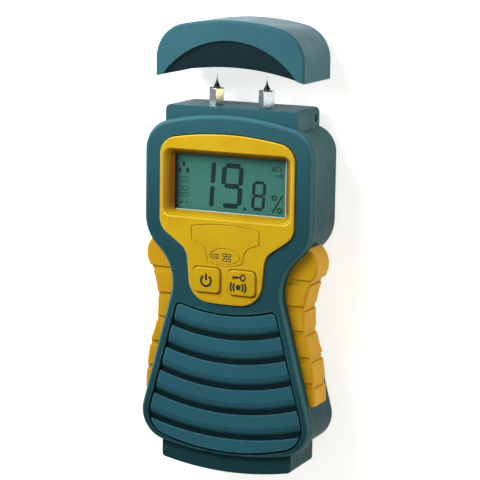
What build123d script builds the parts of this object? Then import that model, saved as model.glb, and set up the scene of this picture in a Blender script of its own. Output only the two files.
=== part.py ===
from build123d import *
import os
from math import sqrt

# Pin-type moisture meter, in millimetres, lying on its back.
# The origin is on the back rest face, at the waist of the housing.
# +X is the width, +Y points along the pins, +Z points out of the display.

# Housing outline: the head hangs from head_top, the foot from foot_bottom
head_half = 35.2
head_top = 66.2
head_corner_y = head_top - 6.2
head_corner_round = 12.0
shoulder_y = head_top - 48.0
shoulder_round = 16.0
waist_half = 21.1
waist_y = shoulder_y - 12.6
waist_round = 18.0
foot_half = 38.6
foot_bottom = -66.9
foot_corner_y = foot_bottom + 6.1
foot_corner_round = 12.0

# Housing depth and walls
body_depth = 30.0
seam_height = 14.0
flange_thickness = 4.0
flange_step = 1.4
rim_round = 2.0
back_round = 4.0
wall = 2.0
back_wall = 2.2
face_wall = 2.5
shell_wall = flange_step + wall

# Nose and foot blocks
block_back = 5.5
block_setback = 2.5
nose_half = 27.4
nose_top = head_top + 2.6
nose_depth = 14.3
nose_bottom = nose_top - nose_depth
nose_round = 2.0
foot_block_half = 27.5
foot_block_end = foot_bottom - 4.0
foot_block_bulge = 3.1
foot_block_round = 1.5

# Bezel
bezel_margin = 7.2
bezel_half = head_half - bezel_margin
bezel_top_y = head_top - 7.4
bezel_corner_y = bezel_top_y - 3.3
bezel_corner_round = 7.0
bezel_shoulder_y = shoulder_y + 3.3
bezel_neck_x = 16.4
bezel_neck_y = shoulder_y - 4.9
bezel_neck_round = 6.5
bezel_foot_x = 14.6
bezel_foot_y = shoulder_y - 24.0
bezel_foot_round = 9.0
bezel_bottom_y = bezel_foot_y - 1.0
bezel_recess = 1.3
bezel_proud = 1.0
bezel_edge_round = 0.5
bezel_gap = 0.35

# Display, in from the bezel's edge: a flat rim, a slope, the window
window_rim = 1.0
window_slope = (3.7, 2.4)
window_size = (2 * (bezel_half - window_rim - window_slope[0]), 21.8)
window_y = head_top - 27.1
window_round = 1.0
window_setback = 3.0
tunnel_margin = (3.4, 2.0)
lens_margin = (2.2, 1.4)
lens_thickness = 1.0
gasket_thickness = 0.8
glass_margin = (1.2, 1.1)
glass_thickness = 2.6
display_frame_wall = 1.6
zebra_height = 3.0
zebra_width = 2.2

# Buttons
button_size = (11.3, 9.8)
button_space = 3.4
button_x = (button_size[0] + button_space) / 2
button_y = shoulder_y - 15.8
button_round = 1.8
button_proud = 1.0
button_gap = 0.3
button_edge_round = 0.6
button_flange = 1.0
button_flange_thickness = 0.9
button_lift = 0.3
stem_radius = 2.0

# Ridged panel
panel_top_x = 20.4
panel_top_y = bezel_bottom_y - 1.4
panel_top_sag = 3.2
panel_foot_x = 33.9
panel_foot_y = foot_bottom + 8.4
panel_bottom_y = foot_bottom + 1.7
panel_top_round = 1.5
panel_foot_round = 9.0
panel_recess = 1.5
panel_setback = 0.3
panel_gap = 0.8
groove_middles = (-20.8, -30.4, -40.4, -50.2, -60.1)
groove_radii = (78.0, 83.0, 89.0, 98.0, 117.0)
groove_depth = 0.9
groove_width = 1.6
louvre_run = 5.2

# Side grips: the outer edge is three arcs, from the top down
grip_root = 20.0
grip_top = (32.6, 17.0)
grip_bulge = (36.1, 10.0)
grip_neck = (33.8, 4.0)
grip_waist = (31.1, -9.0)
grip_hip = (33.9, -24.0)
grip_flank = (35.5, -34.0)
grip_foot = (36.1, -44.0)
grip_grooves = (3.8, -6.5, -16.0, -26.1, -36.0)
grip_groove_width = 2.3
grip_groove_depth = 0.6
grip_blend_round = 6.0
grip_edge_round = 1.2

# Battery: a standard 9 V block
battery_size = (26.5, 46.0, 17.5)
battery_y = foot_bottom + 4.5
battery_z = 3.0
terminal_x = 6.35
terminal_height = 2.6
contact_thickness = 3.2
compartment_gap = 0.5
compartment_wall = 1.5
battery_top_y = battery_y + battery_size[1]
battery_middle_z = battery_z + battery_size[2] / 2
contact_y = battery_top_y + terminal_height
contact_face = contact_y + contact_thickness

# Circuit board
board_thickness = 1.6
board_half = head_half - shell_wall - 0.9
board_top_y = nose_bottom - 0.5
board_step_y = window_y - 14.9
board_bottom_y = contact_face + 1.6
board_tail_half = 17.0
board_screw_radius = 0.95
post_radius = 2.0
board_posts = ((board_half - 1.5, window_y), (board_tail_half - 3, board_bottom_y + 3))
switch_size = 6.0
switch_height = 3.5
plunger_radius = 1.75
plunger_rise = 1.2
plunger_sink = 1.5
plunger_gap = 0.1
strip_thickness = 0.5

# Pins
pin_x = 10.45
pin_z = 17.5
socket_radius = 2.95
socket_gap = 0.05
collar_flats = 5.5
collar_length = 6.5
stud_radius = 1.5
stud_length = 7.0
shank_radius = 0.75
shank_length = 5.0
needle_base_radius = 1.3
needle_base_length = 0.4
needle_waist_radius = 0.52
needle_tip_radius = 0.08
needle_length = 5.2

# Battery door
door_half = 16.0
door_top_y = contact_y - 0.8
door_thickness = 2.0
door_end_height = 5.0
door_gap = 0.3
tongue_width = 1.5
tongue_thickness = 1.0
tongue_gap = 0.15
rail_thickness = 1.2

# Fasteners
housing_screw_spots = [
    ((pin_x + socket_radius + nose_half) / 2, nose_top - 9.8),
    (head_half - 8.2, shoulder_y + 2.4),
    (25.0, foot_bottom + 16.9),
]
housing_screw_radius = 1.25
housing_head_radius = 2.7
housing_head_height = 2.0
housing_head_sink = 3.0
boss_radius = 3.0
rear_boss_radius = 3.8
screw_clearance = 0.35
thread_gap = 0.05

# Cap, drawn lifted off the nose
cap_lift = 17.7
cap_half = 30.7
cap_top = nose_top + cap_lift + 15.5
cap_top_drop = 5.0
cap_corner_round = 13.5
cap_back = 3.0
cap_wall = 2.2
cap_gap = 0.3
cap_edge_round = 1.0
scoop_radius = 34.8
scoop_middle_y = nose_top - 9.3
scoop_depth = 1.1

# Label
label_size = (40.0, 20.0)
label_y = window_y - 1.1
label_recess = 0.4
label_thickness = 0.3

# Heights worked out from the sizes above
flange_low = body_depth - flange_thickness
inner_face = body_depth - face_wall
block_front = body_depth - block_setback
bezel_floor = body_depth - bezel_recess
bezel_face = body_depth + bezel_proud
button_face = bezel_face + button_proud
panel_floor = body_depth - panel_recess
panel_face = body_depth - panel_setback
window_seat = body_depth - window_setback
lens_back = window_seat - lens_thickness
glass_front = lens_back - gasket_thickness
glass_back = glass_front - glass_thickness
board_front = glass_back - zebra_height
board_back = board_front - board_thickness
head_rise = head_top - head_corner_y
head_radius = (head_half**2 + head_rise**2) / (2 * head_rise)
cap_arch_radius = head_radius + cap_gap
cap_arch_top = head_top + cap_gap + cap_lift
cap_arch_end = cap_arch_top - cap_arch_radius + sqrt(cap_arch_radius**2 - cap_half**2)
cap_front = body_depth
cap_hollow_back = block_back - cap_gap
cap_hollow_front = block_front + cap_gap
cap_hollow_half = nose_half + cap_gap
both_sides = (-1, 1)

os.makedirs("parts", exist_ok=True)


def larger(size, margin):
    """A (width, height) with a margin added on every side."""
    return size[0] + 2 * margin[0], size[1] + 2 * margin[1]


slope_size = larger(window_size, window_slope)
tunnel_size = larger(window_size, tunnel_margin)
lens_size = larger(window_size, lens_margin)
glass_size = larger(window_size, glass_margin)
display_frame_size = larger(glass_size, (display_frame_wall, display_frame_wall))
button_hole = larger(button_size, (button_gap, button_gap))


def save(builder, name):
    """Label a finished piece and write it."""
    builder.part.label = name
    export_step(builder.part, f"parts/{name}.step")


def mirrored_outline(corners, top, bottom):
    """An outline symmetric about X = 0.

    corners runs down the right side as (x, y, radius). top and bottom are the Y of the
    middle of the two ends, which are arcs, or straight where that Y is the corner's own.
    """
    right = [(x, y) for x, y, _ in corners]
    left = [(-x, y) for x, y in reversed(right)]
    with BuildSketch() as outline:
        with BuildLine():
            if top == right[0][1]:
                Line(left[-1], right[0])
            else:
                ThreePointArc(left[-1], (0, top), right[0])
            Polyline(*right)
            if bottom == right[-1][1]:
                Line(right[-1], left[0])
            else:
                ThreePointArc(right[-1], (0, bottom), left[0])
            Polyline(*left)
        make_face()
        for x, y, radius in corners:
            spots = [v for v in outline.vertices() if abs(abs(v.X) - x) + abs(v.Y - y) < 0.01]
            if radius:
                fillet(spots, radius)
    return outline.sketch


def inset(outline, distance):
    """The same outline, moved inwards all round."""
    with BuildSketch() as smaller:
        add(outline)
        offset(amount=-distance)
    return smaller.sketch


def both(spots):
    """Each (x, y) spot and its mirror image."""
    return [(side * x, y) for x, y in spots for side in both_sides]


body_outline = mirrored_outline(
    [
        (head_half, head_corner_y, head_corner_round),
        (head_half, shoulder_y, shoulder_round),
        (waist_half, waist_y, waist_round),
        (foot_half, foot_corner_y, foot_corner_round),
    ],
    head_top,
    foot_bottom,
)
shell_outline = inset(body_outline, flange_step)
cavity_outline = inset(body_outline, shell_wall)
foot_outline = mirrored_outline(
    [(foot_block_half, foot_corner_y, 0), (foot_block_half, foot_block_end, foot_block_round)],
    foot_corner_y,
    foot_block_end - foot_block_bulge,
)
nose_outline = mirrored_outline(
    [(nose_half, nose_top, nose_round), (nose_half, nose_bottom, 0)],
    nose_top,
    nose_bottom,
)
bezel_outline = mirrored_outline(
    [
        (bezel_half, bezel_corner_y, bezel_corner_round),
        (bezel_half, bezel_shoulder_y, bezel_corner_round),
        (bezel_neck_x, bezel_neck_y, bezel_neck_round),
        (bezel_foot_x, bezel_foot_y, bezel_foot_round),
    ],
    bezel_top_y,
    bezel_bottom_y,
)
panel_outline = mirrored_outline(
    [(panel_top_x, panel_top_y, panel_top_round), (panel_foot_x, panel_foot_y, panel_foot_round)],
    panel_top_y - panel_top_sag,
    panel_bottom_y,
)


# Front housing: rimmed face, side shell down to the seam, front half of the foot
with BuildPart() as front_housing:
    with BuildSketch(Plane.XY.offset(seam_height)):
        add(shell_outline)
    extrude(amount=flange_low - seam_height)
    with BuildSketch(Plane.XY.offset(flange_low)):
        add(body_outline)
    extrude(amount=flange_thickness)
    fillet(front_housing.faces().sort_by(Axis.Z)[-1].edges(), rim_round)
    with BuildSketch(Plane.XY.offset(seam_height)):
        add(foot_outline)
    extrude(amount=block_front - seam_height)
    with BuildSketch(Plane.XY.offset(seam_height)):
        add(cavity_outline)
    extrude(amount=inner_face - seam_height, mode=Mode.SUBTRACT)
    with BuildSketch(Plane.XY.offset(seam_height)):
        add(inset(foot_outline, wall))
    extrude(amount=block_front - wall - seam_height, mode=Mode.SUBTRACT)
    # Opening for the nose block
    with BuildSketch(Plane.XY.offset(seam_height)):
        with Locations((0, nose_bottom)):
            Rectangle(2 * nose_half, 20, align=(Align.CENTER, Align.MIN))
    extrude(amount=block_front - seam_height, mode=Mode.SUBTRACT)
    # Seats of the bezel and the ridged panel
    with BuildSketch(Plane.XY.offset(bezel_floor)):
        add(inset(bezel_outline, -bezel_gap))
    extrude(amount=bezel_recess, mode=Mode.SUBTRACT)
    with BuildSketch(Plane.XY.offset(panel_floor)):
        add(inset(panel_outline, -panel_gap))
    extrude(amount=panel_recess, mode=Mode.SUBTRACT)
    # Openings for the window tunnel and the buttons
    with BuildSketch(Plane.XY.offset(inner_face)):
        with Locations((0, window_y)):
            Rectangle(*larger(tunnel_size, (bezel_gap, bezel_gap)))
        with Locations(*both([(button_x, button_y)])):
            RectangleRounded(*button_hole, button_round)
    extrude(amount=face_wall, mode=Mode.SUBTRACT)
    # Screw bosses and board posts
    with BuildSketch(Plane.XY.offset(seam_height)):
        with Locations(*both(housing_screw_spots)):
            Circle(boss_radius)
    extrude(amount=inner_face - seam_height)
    with BuildSketch(Plane.XY.offset(board_front)):
        with Locations(*both(board_posts)):
            Circle(post_radius)
    extrude(amount=inner_face - board_front)
    with BuildSketch(Plane.XY.offset(seam_height)):
        with Locations(*both(housing_screw_spots)):
            Circle(housing_screw_radius + thread_gap)
        with Locations(*both(board_posts)):
            Circle(board_screw_radius + thread_gap)
    extrude(amount=inner_face - 1 - seam_height, mode=Mode.SUBTRACT)
save(front_housing, "front_housing")

# Rear housing: the back shell, with battery compartment, door rails and screw bosses
rail_half = door_half + tongue_width + 2
with BuildPart() as rear_housing:
    with BuildSketch():
        add(shell_outline)
    extrude(amount=seam_height)
    fillet(rear_housing.faces().sort_by(Axis.Z)[0].edges(), back_round)
    with BuildSketch(Plane.XY.offset(block_back)):
        add(foot_outline)
    extrude(amount=seam_height - block_back)
    with BuildSketch(Plane.XY.offset(back_wall)):
        add(cavity_outline)
    extrude(amount=seam_height - back_wall, mode=Mode.SUBTRACT)
    with BuildSketch(Plane.XY.offset(block_back + wall)):
        add(inset(foot_outline, wall))
    extrude(amount=seam_height - block_back - wall, mode=Mode.SUBTRACT)
    with BuildSketch(Plane.XY.offset(block_back)):
        with Locations((0, nose_bottom)):
            Rectangle(2 * nose_half, 20, align=(Align.CENTER, Align.MIN))
    extrude(amount=seam_height - block_back, mode=Mode.SUBTRACT)
    # Rails over the door's tongues, and the side walls of the battery compartment
    compartment_half = battery_size[0] / 2 + compartment_gap
    rail_low = back_wall + tongue_gap
    rail_x = (compartment_half + rail_half) / 2
    with BuildSketch(Plane.XY.offset(rail_low)):
        with Locations((-rail_x, battery_y), (rail_x, battery_y)):
            Rectangle(rail_half - compartment_half, door_top_y - battery_y, align=(Align.CENTER, Align.MIN))
    extrude(amount=rail_thickness)
    wall_x = compartment_half + compartment_wall / 2
    wall_top_y = contact_face + 0.5
    with BuildSketch(Plane.XY.offset(rail_low)):
        with Locations((-wall_x, battery_y), (wall_x, battery_y)):
            Rectangle(compartment_wall, wall_top_y - battery_y, align=(Align.CENTER, Align.MIN))
    extrude(amount=seam_height - rail_low - 0.5)
    # Ribs that tie the rails to the back wall outside the tongues
    rib_x = rail_half - rail_thickness / 2
    with BuildSketch(Plane.XY.offset(back_wall)):
        with Locations((-rib_x, battery_y), (rib_x, battery_y)):
            Rectangle(rail_thickness, door_top_y - battery_y, align=(Align.CENTER, Align.MIN))
        with Locations((-wall_x, door_top_y + door_gap), (wall_x, door_top_y + door_gap)):
            Rectangle(compartment_wall, wall_top_y - door_top_y - door_gap, align=(Align.CENTER, Align.MIN))
    extrude(amount=rail_low - back_wall)
    # Door opening, with a slot for the tongues
    with BuildSketch(Plane.XY.offset(-1)):
        with Locations((0, door_top_y + door_gap)):
            Rectangle(2 * (door_half + door_gap), 80, align=(Align.CENTER, Align.MAX))
    extrude(amount=1 + rail_low, mode=Mode.SUBTRACT)
    with BuildSketch(Plane.XY.offset(back_wall)):
        with Locations((0, battery_y)):
            Rectangle(2 * (door_half + door_gap), 20, align=(Align.CENTER, Align.MAX))
    extrude(amount=door_end_height + door_gap - back_wall, mode=Mode.SUBTRACT)
    with BuildSketch(Plane.XY.offset(door_thickness - tongue_thickness - tongue_gap)):
        with Locations((0, door_top_y + door_gap)):
            Rectangle(2 * (door_half + tongue_width + door_gap), 80, align=(Align.CENTER, Align.MAX))
    extrude(amount=rail_low - door_thickness + tongue_thickness + tongue_gap, mode=Mode.SUBTRACT)
    # Screw bosses with sunk heads, and the label's recess
    with BuildSketch(Plane.XY.offset(back_wall)):
        with Locations(*both(housing_screw_spots)):
            Circle(rear_boss_radius)
    extrude(amount=seam_height - back_wall)
    with BuildSketch():
        with Locations(*both(housing_screw_spots)):
            Circle(housing_screw_radius + screw_clearance)
    extrude(amount=seam_height, mode=Mode.SUBTRACT)
    with BuildSketch():
        with Locations(*both(housing_screw_spots)):
            Circle(housing_head_radius + screw_clearance)
    extrude(amount=housing_head_sink, mode=Mode.SUBTRACT)
    with BuildSketch():
        with Locations((0, label_y)):
            RectangleRounded(label_size[0] + 0.4, label_size[1] + 0.4, 2)
    extrude(amount=label_recess, mode=Mode.SUBTRACT)
save(rear_housing, "rear_housing")

# Nose block: carries the two pin sockets, clamped between the housings
with BuildPart() as nose_block:
    with BuildSketch(Plane.XY.offset(block_back)):
        add(nose_outline)
    extrude(amount=block_front - block_back)
    with BuildSketch(Plane.XY.offset(block_back)):
        with Locations(*both([housing_screw_spots[0]])):
            Circle(rear_boss_radius + 0.1)
    extrude(amount=block_front - block_back, mode=Mode.SUBTRACT)
    with BuildSketch(Plane.XZ.offset(-nose_bottom)):
        with Locations((-pin_x, pin_z), (pin_x, pin_z)):
            Circle(socket_radius + socket_gap)
    extrude(amount=-(nose_top - nose_bottom), mode=Mode.SUBTRACT)
    # Snap notches for the cap, one on each side
    with Locations((nose_half, nose_top - 4, block_back + 3.5), (-nose_half, nose_top - 4, block_back + 3.5)):
        Box(1.6, 3.0, 2.4, mode=Mode.SUBTRACT)
save(nose_block, "nose_block")

# Bezel: yellow insert round the display and the buttons
oval_y = button_y + 9.6
oval_radii = (6.4, 3.2)
engraving_width = 0.4
engraving_depth = 0.25
shield_top_y = oval_y + 12.2
shield_bottom_y = oval_y - 3.8
shield_line = [
    (14.2, oval_y + 10.9),
    (14.2, oval_y + 5.6),
    (9.6, oval_y + 3.8),
    (8.4, oval_y + 2.3),
    (7.0, oval_y - 2.5),
]
with BuildPart() as bezel:
    with BuildSketch(Plane.XY.offset(bezel_floor)):
        add(bezel_outline)
    extrude(amount=bezel_face - bezel_floor)
    fillet(bezel.faces().sort_by(Axis.Z)[-1].edges(), bezel_edge_round)
    with BuildSketch(Plane.XY.offset(window_seat)):
        with Locations((0, window_y)):
            Rectangle(*tunnel_size)
    extrude(amount=bezel_floor - window_seat)
    with BuildSketch(Plane.XY.offset(window_seat)):
        with Locations((0, window_y)):
            RectangleRounded(*window_size, window_round)
    with BuildSketch(Plane.XY.offset(bezel_face)):
        with Locations((0, window_y)):
            RectangleRounded(*slope_size, window_round + window_slope[1])
    loft(mode=Mode.SUBTRACT)
    with BuildSketch(Plane.XY.offset(bezel_floor)):
        with Locations(*both([(button_x, button_y)])):
            RectangleRounded(*button_hole, button_round)
    extrude(amount=bezel_face - bezel_floor, mode=Mode.SUBTRACT)
    # Engraved shield line and oval between the display and the buttons
    with BuildSketch(Plane.XY.offset(bezel_face)):
        with BuildLine():
            left_line = [(-x, y) for x, y in reversed(shield_line)]
            ThreePointArc(left_line[-1], (0, shield_top_y), shield_line[0])
            Polyline(*shield_line)
            ThreePointArc(shield_line[-1], (0, shield_bottom_y), left_line[0])
            Polyline(*left_line)
        trace(line_width=engraving_width)
    extrude(amount=-engraving_depth, mode=Mode.SUBTRACT)
    with BuildSketch(Plane.XY.offset(bezel_face)):
        with Locations((0, oval_y)):
            Ellipse(*oval_radii)
            Ellipse(*[radius - engraving_width for radius in oval_radii], mode=Mode.SUBTRACT)
    extrude(amount=-engraving_depth, mode=Mode.SUBTRACT)
save(bezel, "bezel")

# Ridged panel: six sloping bands, each dropping into the groove below it
with BuildPart() as ridged_panel:
    with BuildSketch(Plane.XY.offset(panel_floor)):
        add(panel_outline)
    extrude(amount=panel_face - panel_floor)
    for middle, radius in zip(groove_middles, groove_radii):
        with BuildSketch(Plane.YZ):
            with BuildLine():
                Polyline(
                    (middle, panel_face - groove_depth),
                    (middle + groove_width, panel_face - groove_depth),
                    (middle + louvre_run, panel_face + 0.1),
                    (middle, panel_face + 0.1),
                    close=True,
                )
            make_face()
        revolve(axis=Axis((0, middle + radius, 0), (0, 0, 1)), mode=Mode.SUBTRACT)
save(ridged_panel, "ridged_panel")


def grip_outline(side):
    """Plan of a side pad, from inside the housing to its curved outer edge."""
    with BuildSketch() as outline:
        with BuildLine():
            for arc in (
                (grip_top, grip_bulge, grip_neck),
                (grip_neck, grip_waist, grip_hip),
                (grip_hip, grip_flank, grip_foot),
            ):
                ThreePointArc(*[(side * x, y) for x, y in arc])
            Polyline(
                (side * grip_foot[0], grip_foot[1]),
                (side * grip_root, grip_foot[1]),
                (side * grip_root, grip_top[1]),
                (side * grip_top[0], grip_top[1]),
            )
        make_face()
        for corner in (grip_neck, grip_hip):
            fillet([v for v in outline.vertices() if abs(v.Y - corner[1]) < 0.01], grip_blend_round)
    return outline.sketch


def make_grip(side):
    """Rubber side pad between the seam and the flange, with five grooves round it."""
    grip_plan = grip_outline(side)
    with BuildPart() as grip:
        with BuildSketch(Plane.XY.offset(seam_height)):
            add(grip_plan)
        extrude(amount=flange_low - seam_height)
        top = grip.faces().sort_by(Axis.Z)[-1]
        fillet([edge for edge in top.edges() if edge.geom_type == GeomType.CIRCLE], grip_edge_round)
        with BuildSketch(Plane.XY.offset(seam_height)):
            with Locations(*[(side * grip_root, y) for y in grip_grooves]):
                Rectangle(60, grip_groove_width)
        extrude(amount=flange_low - seam_height, mode=Mode.SUBTRACT)
        # The pad's core shows at the bottom of the grooves
        with BuildSketch(Plane.XY.offset(seam_height)):
            add(inset(grip_plan, grip_groove_depth))
        extrude(amount=flange_low - grip_groove_depth - seam_height)
        with BuildSketch(Plane.XY.offset(seam_height)):
            add(shell_outline)
        extrude(amount=flange_low - seam_height, mode=Mode.SUBTRACT)
    return grip


for side, name in zip(both_sides, ("left", "right")):
    save(make_grip(side), f"{name}_grip")

# Display: lens, gasket, glass, frame and the two zebra connectors
with BuildPart() as lcd_window:
    with BuildSketch(Plane.XY.offset(lens_back)):
        with Locations((0, window_y)):
            RectangleRounded(*lens_size, window_round)
    extrude(amount=lens_thickness)
save(lcd_window, "lcd_window")

with BuildPart() as window_gasket:
    with BuildSketch(Plane.XY.offset(glass_front)):
        with Locations((0, window_y)):
            Rectangle(*glass_size)
            Rectangle(window_size[0] + 0.4, window_size[1] + 0.4, mode=Mode.SUBTRACT)
    extrude(amount=gasket_thickness)
save(window_gasket, "window_gasket")

with BuildPart() as lcd_glass:
    with BuildSketch(Plane.XY.offset(glass_back)):
        with Locations((0, window_y)):
            Rectangle(*glass_size)
    extrude(amount=glass_thickness)
save(lcd_glass, "lcd_glass")

with BuildPart() as lcd_frame:
    with BuildSketch(Plane.XY.offset(board_front)):
        with Locations((0, window_y)):
            Rectangle(*display_frame_size)
            Rectangle(*larger(glass_size, (thread_gap, thread_gap)), mode=Mode.SUBTRACT)
    extrude(amount=glass_front - board_front)
save(lcd_frame, "lcd_frame")

with BuildPart() as zebra_strips:
    with BuildSketch(Plane.XY.offset(board_front)):
        for side in both_sides:
            with Locations((0, window_y + side * (glass_size[1] / 2 - zebra_width))):
                Rectangle(glass_size[0] - 4, zebra_width)
    extrude(amount=zebra_height)
save(zebra_strips, "zebra_strips")

# Circuit board and what it carries
with BuildPart() as circuit_board:
    with BuildSketch(Plane.XY.offset(board_back)):
        with BuildLine():
            right = [
                (board_half - 3, board_top_y),
                (board_half, board_top_y - 3),
                (board_half, board_step_y + 3),
                (board_half - 3, board_step_y),
                (board_tail_half, board_step_y),
                (board_tail_half, board_bottom_y),
            ]
            Polyline(*right, *[(-x, y) for x, y in reversed(right)], close=True)
        make_face()
        with Locations(*both(board_posts)):
            Circle(board_screw_radius + 0.15, mode=Mode.SUBTRACT)
    extrude(amount=board_thickness)
save(circuit_board, "circuit_board")

with BuildPart() as controller_chip:
    with BuildSketch(Plane.XY.offset(board_back)):
        with Locations((0, 16)):
            Rectangle(10, 10)
    extrude(amount=-1.4)
    chamfer(controller_chip.edges().group_by(Axis.Z)[0], 0.25)
save(controller_chip, "controller_chip")

with BuildPart() as buzzer:
    with BuildSketch(Plane.XY.offset(board_back)):
        with Locations((-11, 38)):
            Circle(6)
    extrude(amount=-5)
    with BuildSketch(Plane.XY.offset(board_back - 5)):
        with Locations((-11, 38)):
            Circle(1)
    extrude(amount=2, mode=Mode.SUBTRACT)
save(buzzer, "buzzer")

small_parts = (
    (12.0, 44.0, 5.0, 3.2, 1.2),
    (12.0, 38.0, 5.0, 3.2, 1.2),
    (9.0, 30.0, 3.2, 1.6, 0.8),
    (14.0, 30.0, 3.2, 1.6, 0.8),
    (19.0, 30.0, 3.2, 1.6, 0.8),
    (-12.0, 22.0, 8.0, 3.6, 2.5),
    (10.0, 8.0, 3.2, 1.6, 0.8),
    (10.0, 4.0, 3.2, 1.6, 0.8),
    (-10.0, 6.0, 4.0, 4.0, 1.5),
)
with BuildPart() as board_components:
    for x, y, length, width, height in small_parts:
        with BuildSketch(Plane.XY.offset(board_back)):
            with Locations((x, y)):
                Rectangle(length, width)
        extrude(amount=-height)
save(board_components, "board_components")


# Switches, plungers and buttons, one set on each side
switch_top = board_front + switch_height
plunger_top = switch_top + plunger_rise
flange_top = inner_face - button_lift


def make_switch(x):
    """Push switch body, open on top for its plunger."""
    with BuildPart() as switch:
        with BuildSketch(Plane.XY.offset(board_front)):
            with Locations((x, button_y)):
                Rectangle(switch_size, switch_size)
        extrude(amount=switch_height)
        with BuildSketch(Plane.XY.offset(switch_top)):
            with Locations((x, button_y)):
                Circle(plunger_radius + plunger_gap)
        extrude(amount=-(plunger_sink + 1), mode=Mode.SUBTRACT)
    return switch


def make_plunger(x):
    """Round plunger that the button's stem presses."""
    with BuildPart() as plunger:
        with BuildSketch(Plane.XY.offset(switch_top - plunger_sink)):
            with Locations((x, button_y)):
                Circle(plunger_radius)
        extrude(amount=plunger_rise + plunger_sink)
    return plunger


def make_button(x):
    """Rounded key with a flange that holds it under the face, and a stem."""
    with BuildPart() as button:
        with BuildSketch(Plane.XY.offset(flange_top)):
            with Locations((x, button_y)):
                RectangleRounded(*button_size, button_round)
        extrude(amount=button_face - flange_top)
        fillet(button.faces().sort_by(Axis.Z)[-1].edges(), button_edge_round)
        with BuildSketch(Plane.XY.offset(flange_top)):
            with Locations((x, button_y)):
                Rectangle(button_size[0] + 2 * button_flange, button_size[1] + 2 * button_flange)
        extrude(amount=-button_flange_thickness)
        with BuildSketch(Plane.XY.offset(plunger_top)):
            with Locations((x, button_y)):
                Circle(stem_radius)
        extrude(amount=flange_top - plunger_top)
    return button


for side, name in zip(both_sides, ("power", "hold")):
    save(make_switch(side * button_x), f"{name}_switch")
    save(make_plunger(side * button_x), f"{name}_plunger")
    save(make_button(side * button_x), f"{name}_button")


# Pins: brass socket, hex collar and needle, one set on each side
def make_socket(x):
    """Brass sleeve in the nose block, threaded for the collar's stud."""
    with BuildPart() as socket:
        with BuildSketch(Plane.XZ.offset(-nose_bottom)):
            with Locations((x, pin_z)):
                Circle(socket_radius)
        extrude(amount=-(nose_top - nose_bottom))
        with BuildSketch(Plane.XZ.offset(-nose_top)):
            with Locations((x, pin_z)):
                Circle(stud_radius + thread_gap)
        extrude(amount=stud_length + 1, mode=Mode.SUBTRACT)
    return socket


def make_collar(x, turn):
    """Hexagonal collar with a stud below and a bore for the needle."""
    with BuildPart() as collar:
        with BuildSketch(Plane.XZ.offset(-nose_top)):
            with Locations((x, pin_z)):
                RegularPolygon(collar_flats / 2, 6, major_radius=False, rotation=turn)
        extrude(amount=-collar_length)
        chamfer(collar.faces().sort_by(Axis.Y)[-1].edges(), 0.35)
        with BuildSketch(Plane.XZ.offset(-nose_top)):
            with Locations((x, pin_z)):
                Circle(stud_radius)
        extrude(amount=stud_length)
        with BuildSketch(Plane.XZ.offset(-(nose_top + collar_length))):
            with Locations((x, pin_z)):
                Circle(shank_radius + thread_gap)
        extrude(amount=collar_length, mode=Mode.SUBTRACT)
    return collar


def make_needle(x):
    """Steel needle: a shank in the collar, and a hollow-ground point."""
    base = nose_top + collar_length
    shoulder = base + needle_base_length
    tip = base + needle_length
    with BuildPart() as needle:
        with BuildSketch(Plane.XY.offset(pin_z)):
            with BuildLine():
                Polyline(
                    (x, tip),
                    (x, base - shank_length),
                    (x + shank_radius, base - shank_length),
                    (x + shank_radius, base),
                    (x + needle_base_radius, base),
                    (x + needle_base_radius, shoulder),
                )
                ThreePointArc(
                    (x + needle_base_radius, shoulder),
                    (x + needle_waist_radius, shoulder + (tip - shoulder) / 3),
                    (x + needle_tip_radius, tip),
                )
                Line((x + needle_tip_radius, tip), (x, tip))
            make_face()
        revolve(axis=Axis((x, 0, pin_z), (0, 1, 0)))
    return needle


for side, name, turn in zip(both_sides, ("left", "right"), (12, 30)):
    save(make_socket(side * pin_x), f"{name}_socket")
    save(make_collar(side * pin_x, turn), f"{name}_collar")
    save(make_needle(side * pin_x), f"{name}_needle")

# Contact strips: each stands against its socket and lies under the board
with BuildPart() as socket_strips:
    for side in both_sides:
        with BuildSketch(Plane.YZ.offset(side * pin_x)):
            with BuildLine():
                Polyline(
                    (nose_bottom, pin_z - 2.5),
                    (nose_bottom, board_back),
                    (nose_bottom - 8, board_back),
                    (nose_bottom - 8, board_back - strip_thickness),
                    (nose_bottom - strip_thickness, board_back - strip_thickness),
                    (nose_bottom - strip_thickness, pin_z - 2.5),
                    close=True,
                )
            make_face()
        extrude(amount=2, both=True)
save(socket_strips, "socket_strips")

# Battery, its terminals and the snap contacts they press into
with BuildPart() as battery:
    with BuildSketch(Plane.XZ.offset(-battery_y)):
        with Locations((0, battery_middle_z)):
            RectangleRounded(battery_size[0], battery_size[2], 2)
    extrude(amount=-battery_size[1])
save(battery, "battery")

with BuildPart() as battery_terminals:
    with BuildSketch(Plane.XZ.offset(-battery_top_y)):
        with Locations((-terminal_x, battery_middle_z)):
            Circle(2.9)
        with Locations((terminal_x, battery_middle_z)):
            Circle(4.2)
            Circle(3.4, mode=Mode.SUBTRACT)
    extrude(amount=-(terminal_height - 0.2))
save(battery_terminals, "battery_terminals")

with BuildPart() as contact_snaps:
    with BuildSketch(Plane.XZ.offset(-contact_y)):
        with Locations((-terminal_x, battery_middle_z)):
            Circle(4.2)
            Circle(3.1, mode=Mode.SUBTRACT)
        with Locations((terminal_x, battery_middle_z)):
            Circle(2.9)
    extrude(amount=terminal_height - 0.2)
save(contact_snaps, "contact_snaps")

with BuildPart() as contact_block:
    with BuildSketch(Plane.XZ.offset(-contact_y)):
        with Locations((0, battery_middle_z)):
            RectangleRounded(battery_size[0], battery_size[2] - 1, 1)
    extrude(amount=-contact_thickness)
save(contact_block, "contact_block")

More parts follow.
